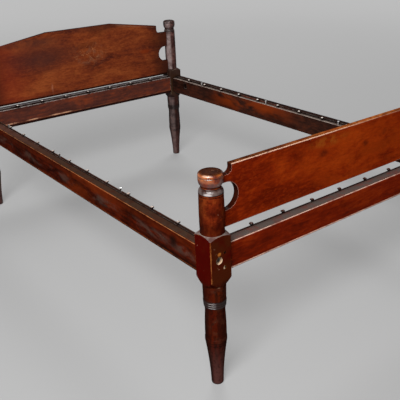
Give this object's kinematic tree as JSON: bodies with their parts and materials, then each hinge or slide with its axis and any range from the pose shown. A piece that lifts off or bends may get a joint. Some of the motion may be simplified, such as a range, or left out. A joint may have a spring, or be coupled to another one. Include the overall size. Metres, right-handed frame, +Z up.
{
  "type": "rope bed",
  "caption": "Low-post rope bed with turned posts, a shaped headboard and footboard, pegged rails for the rope and bed-bolted side rails.",
  "frame": {"origin": "on the floor at the middle of the bed, midway between the four posts", "axes": "+Z up, +Y from the foot to the head along the bed's length, +X to the right of someone who looks from the foot to the head"},
  "size_m": [1.256, 1.98, 0.862],
  "materials": {
    "head_post_wood": "old varnish, satin, dark red-brown",
    "foot_post_wood": "old varnish, satin, dark red-brown, worn orange on the finial",
    "headboard_wood": "old varnish, satin, red-brown with scuffs",
    "footboard_wood": "old varnish, semi-gloss, orange-red",
    "rail_wood": "old varnish, satin, worn and dusty",
    "peg_wood": "worn, satin",
    "pin_wood": "end grain, dark",
    "iron": "forged, dark, dull",
    "pin_steel": "bright, satin"
  },
  "bodies": {
    "root": {"head_post_left": "head_post_wood", "head_post_right": "head_post_wood", "foot_post_left": "foot_post_wood", "foot_post_right": "foot_post_wood", "headboard": "headboard_wood", "footboard": "footboard_wood", "head_rail": "rail_wood", "foot_rail": "rail_wood", "side_rail_left": "rail_wood", "side_rail_right": "rail_wood", "head_rail_pegs": "peg_wood", "foot_rail_pegs": "peg_wood", "side_rail_left_pegs": "peg_wood", "side_rail_right_pegs": "peg_wood", "bed_bolt_head_left": "iron", "bed_bolt_head_right": "iron", "bed_bolt_foot_left": "iron", "bed_bolt_foot_right": "iron", "bolt_nut_head_left": "iron", "bolt_nut_head_right": "iron", "bolt_nut_foot_left": "iron", "bolt_nut_foot_right": "iron", "rail_pins_head_left": "pin_wood", "rail_pins_head_right": "pin_wood", "rail_pins_foot_left": "pin_wood", "rail_pins_foot_right": "pin_wood", "slat_pins_left": "pin_steel", "slat_pins_right": "pin_steel"}
  },
  "joints": []
}
